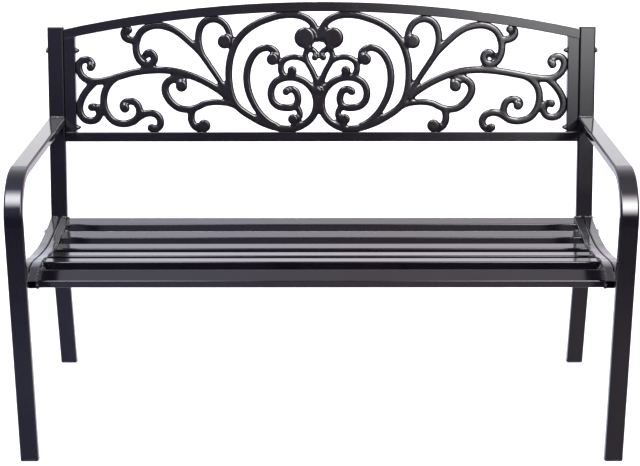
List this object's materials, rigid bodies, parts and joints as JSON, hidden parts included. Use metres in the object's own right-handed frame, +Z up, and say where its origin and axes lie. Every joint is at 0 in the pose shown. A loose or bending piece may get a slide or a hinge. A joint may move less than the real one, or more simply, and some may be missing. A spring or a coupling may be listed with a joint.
{
  "type": "garden bench",
  "caption": "Outdoor bench with bent tube side frames, a curved slatted seat, flat armrests and an arched back panel filled with cast scrollwork.",
  "frame": {"origin": "centre of the bench's footprint, on the floor under the feet", "axes": "+X along the bench, to the right as seen from the front, -Y towards the front of the seat, +Z up"},
  "size_m": [1.2808, 0.6278, 0.8668],
  "materials": {
    "frame_steel": "gloss black powder coat on steel tube",
    "seat_steel": "gloss black powder coat on steel tube",
    "panel_steel": "gloss black powder coat on steel tube",
    "scroll_iron": "gloss black paint on cast iron",
    "cap_plastic": "moulded black polyethylene",
    "spacer_plastic": "moulded black nylon",
    "fastener_steel": "black-finished steel"
  },
  "bodies": {
    "root": {"arm_front_leg_left": "frame_steel", "rear_post_left": "frame_steel", "side_seat_rail_left": "frame_steel", "front_foot_cap_left": "cap_plastic", "rear_foot_cap_left": "cap_plastic", "post_top_cap_left": "cap_plastic", "seat_end_rail_left": "seat_steel", "back_upright_left": "panel_steel", "arm_front_leg_right": "frame_steel", "rear_post_right": "frame_steel", "side_seat_rail_right": "frame_steel", "front_foot_cap_right": "cap_plastic", "rear_foot_cap_right": "cap_plastic", "post_top_cap_right": "cap_plastic", "seat_end_rail_right": "seat_steel", "back_upright_right": "panel_steel", "seat_slat_1": "seat_steel", "seat_slat_2": "seat_steel", "seat_slat_3": "seat_steel", "seat_slat_4": "seat_steel", "seat_slat_5": "seat_steel", "seat_slat_6": "seat_steel", "back_top_rail": "panel_steel", "back_bottom_rail": "panel_steel", "scroll_casting": "scroll_iron", "seat_bolts": "fastener_steel", "seat_washers": "fastener_steel", "seat_cap_nuts": "fastener_steel", "panel_bolts": "fastener_steel", "panel_washers": "fastener_steel", "panel_cap_nuts": "fastener_steel", "seat_spacers": "spacer_plastic"}
  },
  "joints": []
}
